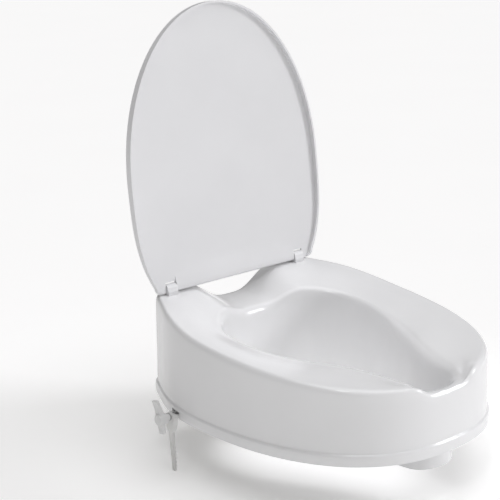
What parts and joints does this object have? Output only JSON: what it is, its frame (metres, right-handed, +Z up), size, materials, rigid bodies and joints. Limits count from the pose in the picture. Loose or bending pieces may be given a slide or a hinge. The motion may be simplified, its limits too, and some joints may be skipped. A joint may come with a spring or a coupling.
{
  "type": "raised toilet seat",
  "caption": "Raised toilet seat: tall hollow white moulding with a dished top and lowered front lip, hinged oval lid, and a toothed screw clamp on each side that grips the bowl.",
  "frame": {"origin": "middle of the seat at the level of the toilet rim's top face, which the rim pads rest on", "axes": "+Z up, the user sits facing -Y, +X is to the left of a user who sits on it"},
  "size_m": [0.4174, 0.4375, 0.5806],
  "materials": {
    "seat_plastic": "glossy moulded white",
    "lid_plastic": "satin-gloss moulded white",
    "clamp_plastic": "fine moulded white",
    "knob_plastic": "glossy moulded white",
    "steel": "zinc plated",
    "pad_rubber": "matt grey"
  },
  "bodies": {
    "seat": {"seat_shell": "seat_plastic", "hinge_block_left": "lid_plastic", "hinge_block_right": "lid_plastic", "hinge_pin_left": "steel", "hinge_pin_right": "steel", "hinge_screws_left": "steel", "hinge_screws_right": "steel", "rim_pad_front_left": "pad_rubber", "rim_pad_front_right": "pad_rubber", "rim_pad_rear_left": "pad_rubber", "rim_pad_rear_right": "pad_rubber", "clamp_guide_left": "clamp_plastic", "clamp_guide_right": "clamp_plastic", "guide_screws_left": "steel", "guide_screws_right": "steel", "captive_nut_left": "steel", "captive_nut_right": "steel"},
    "lid": {"lid_panel": "lid_plastic"},
    "bracket_left": {"clamp_bracket_left": "clamp_plastic"},
    "knob_left": {"wing_knob_left": "knob_plastic", "clamp_screw_left": "steel", "knob_washer_left": "steel", "retaining_clip_left": "steel"},
    "bracket_right": {"clamp_bracket_right": "clamp_plastic"},
    "knob_right": {"wing_knob_right": "knob_plastic", "clamp_screw_right": "steel", "knob_washer_right": "steel", "retaining_clip_right": "steel"}
  },
  "joints": [
    {"name": "lid_hinge", "type": "hinge", "parent": "seat", "child": "lid", "pos_m": [0, 0.184, 0.14106], "axis": [1, 0, 0], "range_deg": [0, 102.2]},
    {"name": "clamp_slide_left", "type": "slide", "parent": "seat", "child": "bracket_left", "axis": [1, 0, 0], "range_m": [-0.008, 0.015]},
    {"name": "knob_turn_left", "type": "hinge", "parent": "bracket_left", "child": "knob_left", "pos_m": [-0.2, 0.098, 0.0044], "axis": [1, 0, 0], "range_deg": [-1441, 2701]},
    {"name": "clamp_slide_right", "type": "slide", "parent": "seat", "child": "bracket_right", "axis": [-1, 0, 0], "range_m": [-0.008, 0.015]},
    {"name": "knob_turn_right", "type": "hinge", "parent": "bracket_right", "child": "knob_right", "pos_m": [0.2, 0.098, 0.0044], "axis": [-1, 0, 0], "range_deg": [-1441, 2701]}
  ],
  "couplings": [
    {"joint": "knob_turn_left", "follows": "clamp_slide_left", "rad_per_m": 3141.6},
    {"joint": "knob_turn_right", "follows": "clamp_slide_right", "rad_per_m": 3141.6}
  ]
}
